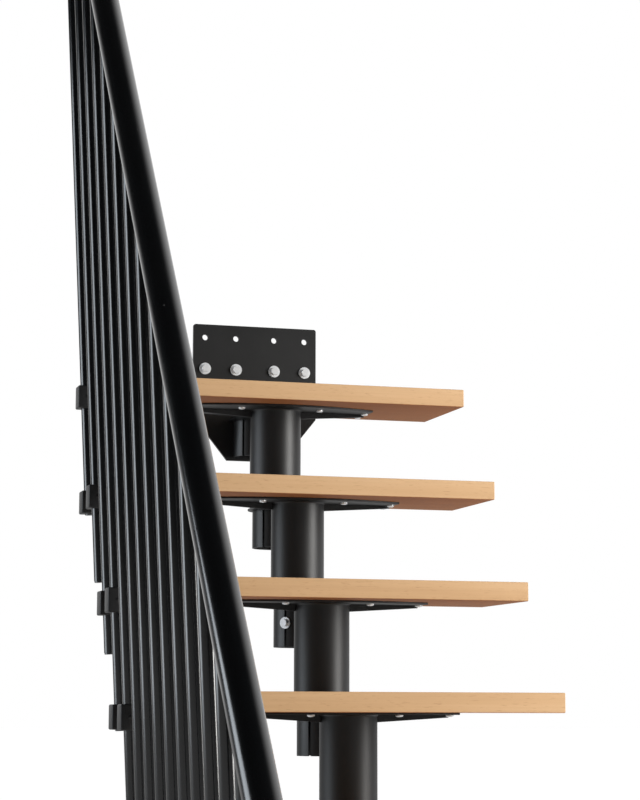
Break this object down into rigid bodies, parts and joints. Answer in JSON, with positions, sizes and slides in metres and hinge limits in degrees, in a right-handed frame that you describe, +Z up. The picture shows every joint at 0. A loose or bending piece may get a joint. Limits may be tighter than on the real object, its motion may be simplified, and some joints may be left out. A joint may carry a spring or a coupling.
{
  "type": "modular staircase",
  "caption": "Straight modular staircase: stacked steel tube supports under open timber treads, wall plate at the top, floor flange below and a sloping tube railing on one side.",
  "frame": {"origin": "centre of the floor flange's underside, on the floor and on the first tube's axis", "axes": "+Z up, the flight climbs towards +Y, +X to the right of someone going up, and the railing stands on the -X side"},
  "size_m": [0.871, 2.2854, 3.6624],
  "materials": {
    "timber": "pale beech with a satin lacquer",
    "black_steel": "satin black powder coat",
    "rail_gloss": "glossy black powder coat",
    "zinc": "bright zinc plating"
  },
  "bodies": {
    "root": {"tread_01": "timber", "tread_02": "timber", "tread_03": "timber", "tread_04": "timber", "tread_05": "timber", "tread_06": "timber", "tread_07": "timber", "tread_08": "timber", "tread_09": "timber", "tread_10": "timber", "tread_11": "timber", "support_01": "black_steel", "support_02": "black_steel", "support_03": "black_steel", "support_04": "black_steel", "support_05": "black_steel", "support_06": "black_steel", "support_07": "black_steel", "support_08": "black_steel", "support_09": "black_steel", "support_10": "black_steel", "support_11": "black_steel", "floor_flange": "black_steel", "landing_plate": "black_steel", "landing_bolts": "zinc", "clamp_bolt": "zinc", "tread_screws": "zinc", "balusters_lower": "rail_gloss", "balusters_mid_lower": "rail_gloss", "balusters_mid_upper": "rail_gloss", "balusters_upper": "rail_gloss", "brackets_front": "black_steel", "brackets_rear": "black_steel", "handrail": "rail_gloss", "handrail_caps": "rail_gloss"}
  },
  "joints": []
}
